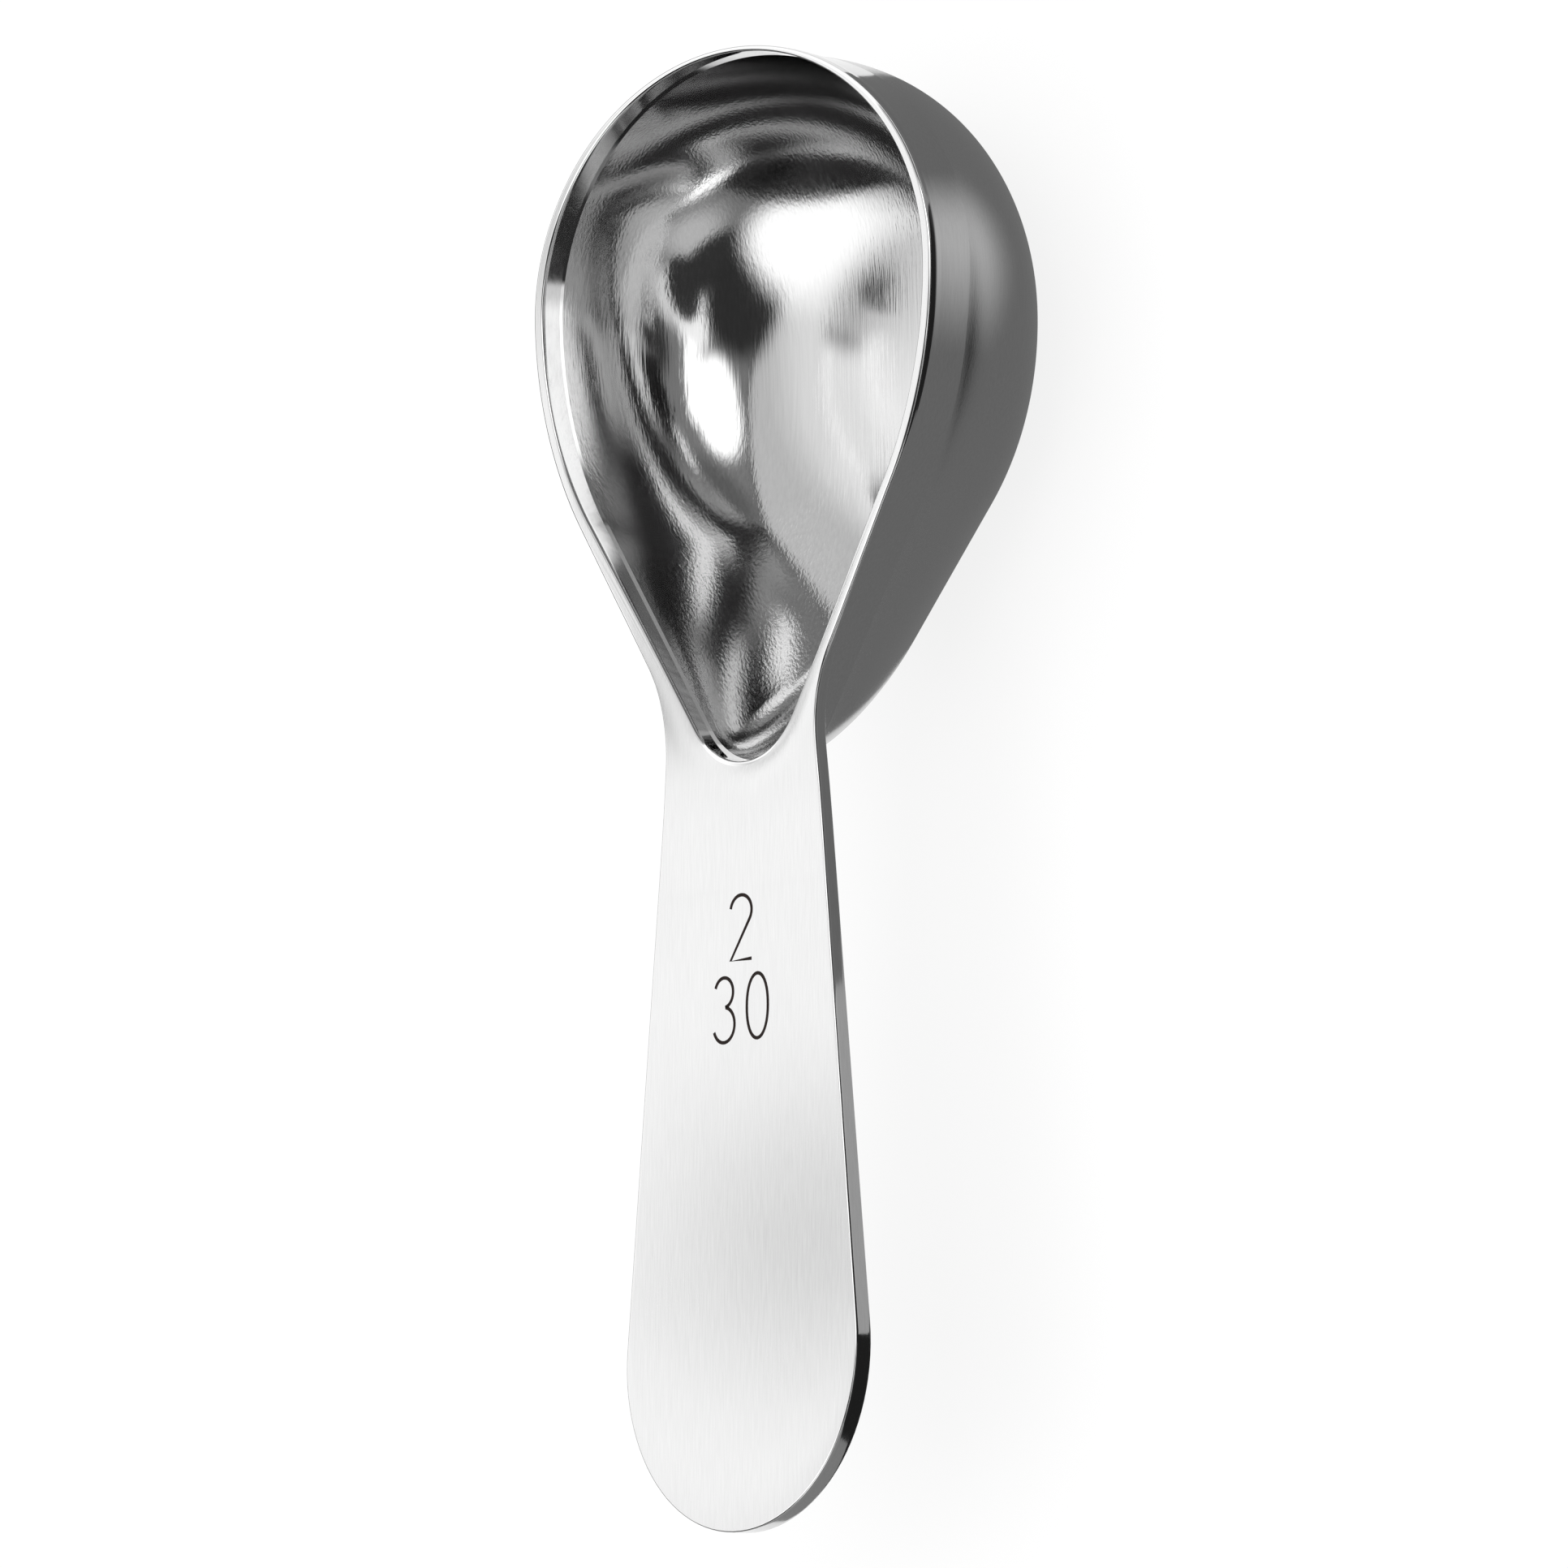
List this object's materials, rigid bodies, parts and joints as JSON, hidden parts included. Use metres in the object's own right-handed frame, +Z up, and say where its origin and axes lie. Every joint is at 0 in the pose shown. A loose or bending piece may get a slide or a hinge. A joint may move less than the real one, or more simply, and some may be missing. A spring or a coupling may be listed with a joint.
{
  "type": "measuring spoon",
  "caption": "Stainless steel measuring spoon with a deep teardrop bowl under a flat tapering handle plate that also forms the bowl's rim.",
  "frame": {"origin": "centre of the small flat under the bowl, on the surface the spoon stands on", "axes": "+Y along the spoon from the handle to the bowl's far end, +Z up out of the bowl's mouth, +X across"},
  "size_m": [0.0512, 0.1236, 0.0217],
  "materials": {
    "bowl_steel": "brushed lengthwise inside, fine satin outside",
    "plate_steel": "fine satin handle with a polished rim"
  },
  "bodies": {
    "root": {"bowl": "bowl_steel", "handle_plate": "plate_steel"}
  },
  "joints": []
}
